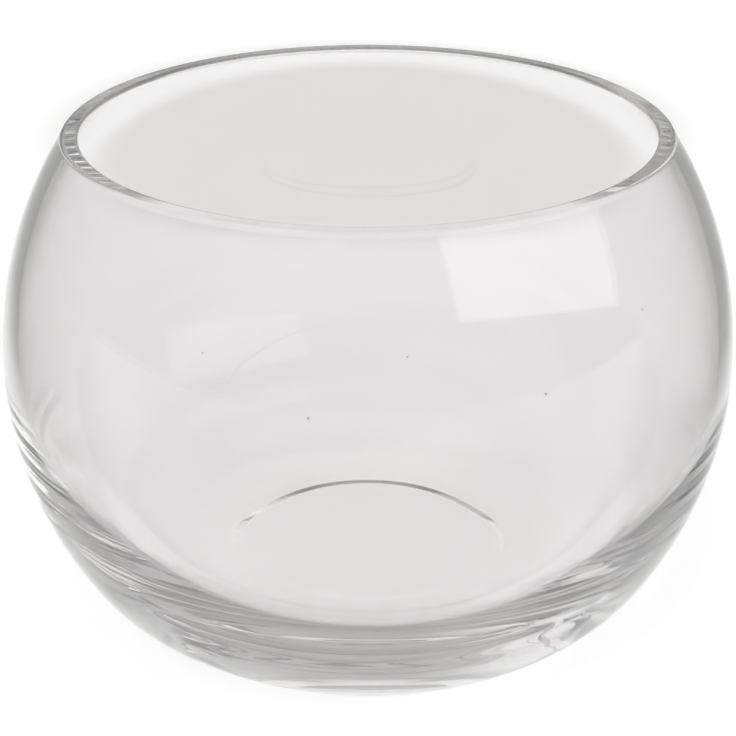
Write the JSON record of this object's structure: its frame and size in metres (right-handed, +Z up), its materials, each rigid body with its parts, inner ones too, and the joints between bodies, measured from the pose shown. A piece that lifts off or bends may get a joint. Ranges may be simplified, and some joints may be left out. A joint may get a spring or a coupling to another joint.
{
  "type": "rose bowl vase",
  "caption": "Clear glass rose bowl: a near-round bubble of glass cut open at the top, with a flat rim, a thick floor and a narrow ring foot, for short-stemmed flowers.",
  "frame": {"origin": "on the bowl's axis, in the plane of the ring foot that it stands on", "axes": "+Z up along the bowl's axis of revolution, out of the mouth; X and Y lie in the table plane and are equal"},
  "size_m": [0.1, 0.1, 0.0699],
  "materials": {
    "clear_glass": "clear colourless soda-lime glass, fire-polished and smooth, with a little waviness left by blowing"
  },
  "bodies": {
    "root": {"glass_bowl": "clear_glass"}
  },
  "joints": []
}
